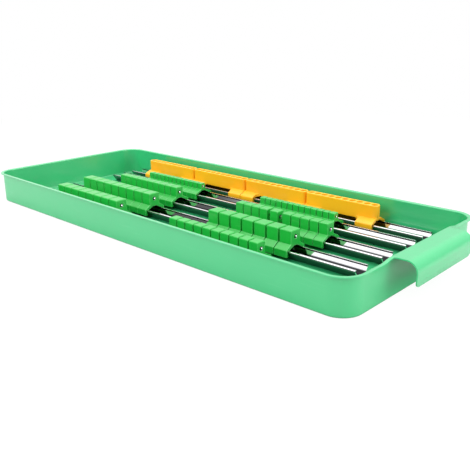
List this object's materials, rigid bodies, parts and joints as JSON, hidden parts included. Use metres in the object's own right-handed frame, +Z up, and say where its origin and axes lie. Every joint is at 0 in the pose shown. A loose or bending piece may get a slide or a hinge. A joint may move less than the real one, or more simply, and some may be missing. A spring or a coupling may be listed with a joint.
{
  "type": "socket organizer tray",
  "caption": "Shallow sheet-metal tray with a rolled handle lip, channel rails, sliding square-post socket clips and drilled bit holders.",
  "frame": {"origin": "centre of the tray's flat underside", "axes": "+X along the tray towards the handle lip, +Y from the front wall to the bit holders, +Z up"},
  "size_m": [0.5057, 0.2004, 0.033],
  "materials": {
    "tray_paint": "gloss",
    "rail_metal": "polished",
    "rivet_metal": "satin",
    "clip_plastic": "gloss",
    "holder_plastic": "gloss",
    "ball_steel": "polished",
    "spring_steel": "plain"
  },
  "bodies": {
    "tray": {"tray_shell": "tray_paint", "front_rail": "rail_metal", "second_rail": "rail_metal", "middle_rail": "rail_metal", "fourth_rail": "rail_metal", "rear_rail": "rail_metal", "rail_rivets": "rivet_metal"},
    "front_left_clips": {"front_left_clips": "clip_plastic"},
    "front_left_end": {"front_left_end_clip": "clip_plastic", "front_left_end_spring": "spring_steel"},
    "front_left_end_ball": {"front_left_end_ball": "ball_steel"},
    "front_right_clips": {"front_right_clips": "clip_plastic"},
    "front_right_end": {"front_right_end_clip": "clip_plastic", "front_right_end_spring": "spring_steel"},
    "front_right_end_ball": {"front_right_end_ball": "ball_steel"},
    "second_left_clips": {"second_left_clips": "clip_plastic"},
    "second_left_end": {"second_left_end_clip": "clip_plastic", "second_left_end_spring": "spring_steel"},
    "second_left_end_ball": {"second_left_end_ball": "ball_steel"},
    "second_right_clips": {"second_right_clips": "clip_plastic"},
    "second_right_end": {"second_right_end_clip": "clip_plastic", "second_right_end_spring": "spring_steel"},
    "second_right_end_ball": {"second_right_end_ball": "ball_steel"},
    "middle_left_clips": {"middle_left_clips": "clip_plastic"},
    "middle_left_end": {"middle_left_end_clip": "clip_plastic", "middle_left_end_spring": "spring_steel"},
    "middle_left_end_ball": {"middle_left_end_ball": "ball_steel"},
    "middle_inner_clips": {"middle_inner_clips": "clip_plastic"},
    "middle_single": {"middle_single_clip": "clip_plastic", "middle_single_spring": "spring_steel"},
    "middle_single_ball": {"middle_single_ball": "ball_steel"},
    "middle_right_clips": {"middle_right_clips": "clip_plastic"},
    "middle_right_end": {"middle_right_end_clip": "clip_plastic", "middle_right_end_spring": "spring_steel"},
    "middle_right_end_ball": {"middle_right_end_ball": "ball_steel"},
    "fourth_left_clips": {"fourth_left_clips": "clip_plastic"},
    "fourth_left_end": {"fourth_left_end_clip": "clip_plastic", "fourth_left_end_spring": "spring_steel"},
    "fourth_left_end_ball": {"fourth_left_end_ball": "ball_steel"},
    "fourth_right_clips": {"fourth_right_clips": "clip_plastic"},
    "fourth_right_end": {"fourth_right_end_clip": "clip_plastic", "fourth_right_end_spring": "spring_steel"},
    "fourth_right_end_ball": {"fourth_right_end_ball": "ball_steel"},
    "bit_holder_1": {"bit_holder_1": "holder_plastic"},
    "bit_holder_2": {"bit_holder_2": "holder_plastic"},
    "bit_holder_3": {"bit_holder_3": "holder_plastic"},
    "bit_holder_4": {"bit_holder_4": "holder_plastic"}
  },
  "joints": [
    {"name": "front_left_clips_slide", "type": "slide", "parent": "tray", "child": "front_left_clips", "axis": [1, 0, 0], "range_m": [-0.054, 0]},
    {"name": "front_left_end_slide", "type": "slide", "parent": "tray", "child": "front_left_end", "axis": [1, 0, 0], "range_m": [0, 0.035]},
    {"name": "front_left_end_ball_press", "type": "slide", "parent": "front_left_end", "child": "front_left_end_ball", "axis": [-1, 0, 0], "range_m": [0, 0.00085], "stiffness_N_per_m": 60, "springref_m": -0.0005, "deforming": ["front_left_end_spring"]},
    {"name": "front_right_clips_slide", "type": "slide", "parent": "tray", "child": "front_right_clips", "axis": [1, 0, 0], "range_m": [-0.035, 0]},
    {"name": "front_right_end_slide", "type": "slide", "parent": "tray", "child": "front_right_end", "axis": [1, 0, 0], "range_m": [0, 0.067]},
    {"name": "front_right_end_ball_press", "type": "slide", "parent": "front_right_end", "child": "front_right_end_ball", "axis": [-1, 0, 0], "range_m": [0, 0.00085], "stiffness_N_per_m": 60, "springref_m": -0.0005, "deforming": ["front_right_end_spring"]},
    {"name": "second_left_clips_slide", "type": "slide", "parent": "tray", "child": "second_left_clips", "axis": [1, 0, 0], "range_m": [-0.045, 0]},
    {"name": "second_left_end_slide", "type": "slide", "parent": "tray", "child": "second_left_end", "axis": [1, 0, 0], "range_m": [0, 0.035]},
    {"name": "second_left_end_ball_press", "type": "slide", "parent": "second_left_end", "child": "second_left_end_ball", "axis": [-1, 0, 0], "range_m": [0, 0.00085], "stiffness_N_per_m": 60, "springref_m": -0.0005, "deforming": ["second_left_end_spring"]},
    {"name": "second_right_clips_slide", "type": "slide", "parent": "tray", "child": "second_right_clips", "axis": [1, 0, 0], "range_m": [-0.035, 0]},
    {"name": "second_right_end_slide", "type": "slide", "parent": "tray", "child": "second_right_end", "axis": [1, 0, 0], "range_m": [0, 0.063]},
    {"name": "second_right_end_ball_press", "type": "slide", "parent": "second_right_end", "child": "second_right_end_ball", "axis": [-1, 0, 0], "range_m": [0, 0.00085], "stiffness_N_per_m": 60, "springref_m": -0.0005, "deforming": ["second_right_end_spring"]},
    {"name": "middle_left_clips_slide", "type": "slide", "parent": "tray", "child": "middle_left_clips", "axis": [1, 0, 0], "range_m": [-0.062, 0]},
    {"name": "middle_left_end_slide", "type": "slide", "parent": "tray", "child": "middle_left_end", "axis": [1, 0, 0], "range_m": [0, 0.035]},
    {"name": "middle_left_end_ball_press", "type": "slide", "parent": "middle_left_end", "child": "middle_left_end_ball", "axis": [-1, 0, 0], "range_m": [0, 0.00085], "stiffness_N_per_m": 60, "springref_m": -0.0005, "deforming": ["middle_left_end_spring"]},
    {"name": "middle_inner_clips_slide", "type": "slide", "parent": "tray", "child": "middle_inner_clips", "axis": [1, 0, 0], "range_m": [-0.035, 0]},
    {"name": "middle_single_slide", "type": "slide", "parent": "tray", "child": "middle_single", "axis": [1, 0, 0], "range_m": [-0.0024, 0]},
    {"name": "middle_single_ball_press", "type": "slide", "parent": "middle_single", "child": "middle_single_ball", "axis": [-1, 0, 0], "range_m": [0, 0.00085], "stiffness_N_per_m": 60, "springref_m": -0.0005, "deforming": ["middle_single_spring"]},
    {"name": "middle_right_clips_slide", "type": "slide", "parent": "tray", "child": "middle_right_clips", "axis": [1, 0, 0], "range_m": [-0.0042, 0]},
    {"name": "middle_right_end_slide", "type": "slide", "parent": "tray", "child": "middle_right_end", "axis": [1, 0, 0], "range_m": [0, 0.054]},
    {"name": "middle_right_end_ball_press", "type": "slide", "parent": "middle_right_end", "child": "middle_right_end_ball", "axis": [-1, 0, 0], "range_m": [0, 0.00085], "stiffness_N_per_m": 60, "springref_m": -0.0005, "deforming": ["middle_right_end_spring"]},
    {"name": "fourth_left_clips_slide", "type": "slide", "parent": "tray", "child": "fourth_left_clips", "axis": [1, 0, 0], "range_m": [-0.066, 0]},
    {"name": "fourth_left_end_slide", "type": "slide", "parent": "tray", "child": "fourth_left_end", "axis": [1, 0, 0], "range_m": [0, 0.035]},
    {"name": "fourth_left_end_ball_press", "type": "slide", "parent": "fourth_left_end", "child": "fourth_left_end_ball", "axis": [-1, 0, 0], "range_m": [0, 0.0006], "stiffness_N_per_m": 60, "springref_m": -0.0005, "deforming": ["fourth_left_end_spring"]},
    {"name": "fourth_right_clips_slide", "type": "slide", "parent": "tray", "child": "fourth_right_clips", "axis": [1, 0, 0], "range_m": [-0.035, 0]},
    {"name": "fourth_right_end_slide", "type": "slide", "parent": "tray", "child": "fourth_right_end", "axis": [1, 0, 0], "range_m": [0, 0.075]},
    {"name": "fourth_right_end_ball_press", "type": "slide", "parent": "fourth_right_end", "child": "fourth_right_end_ball", "axis": [-1, 0, 0], "range_m": [0, 0.0006], "stiffness_N_per_m": 60, "springref_m": -0.0005, "deforming": ["fourth_right_end_spring"]},
    {"name": "bit_holder_1_slide", "type": "slide", "parent": "tray", "child": "bit_holder_1", "axis": [1, 0, 0], "range_m": [-0.03, 0]},
    {"name": "bit_holder_2_slide", "type": "slide", "parent": "tray", "child": "bit_holder_2", "axis": [1, 0, 0], "range_m": [-0.015, 0]},
    {"name": "bit_holder_3_slide", "type": "slide", "parent": "tray", "child": "bit_holder_3", "axis": [1, 0, 0], "range_m": [0, 0.015]},
    {"name": "bit_holder_4_slide", "type": "slide", "parent": "tray", "child": "bit_holder_4", "axis": [1, 0, 0], "range_m": [0, 0.045]}
  ],
  "couplings": [
    {"joint": "bit_holder_2_slide", "follows": "bit_holder_1_slide", "ratio": 0.5},
    {"joint": "bit_holder_3_slide", "follows": "bit_holder_4_slide", "ratio": 0.3333}
  ]
}
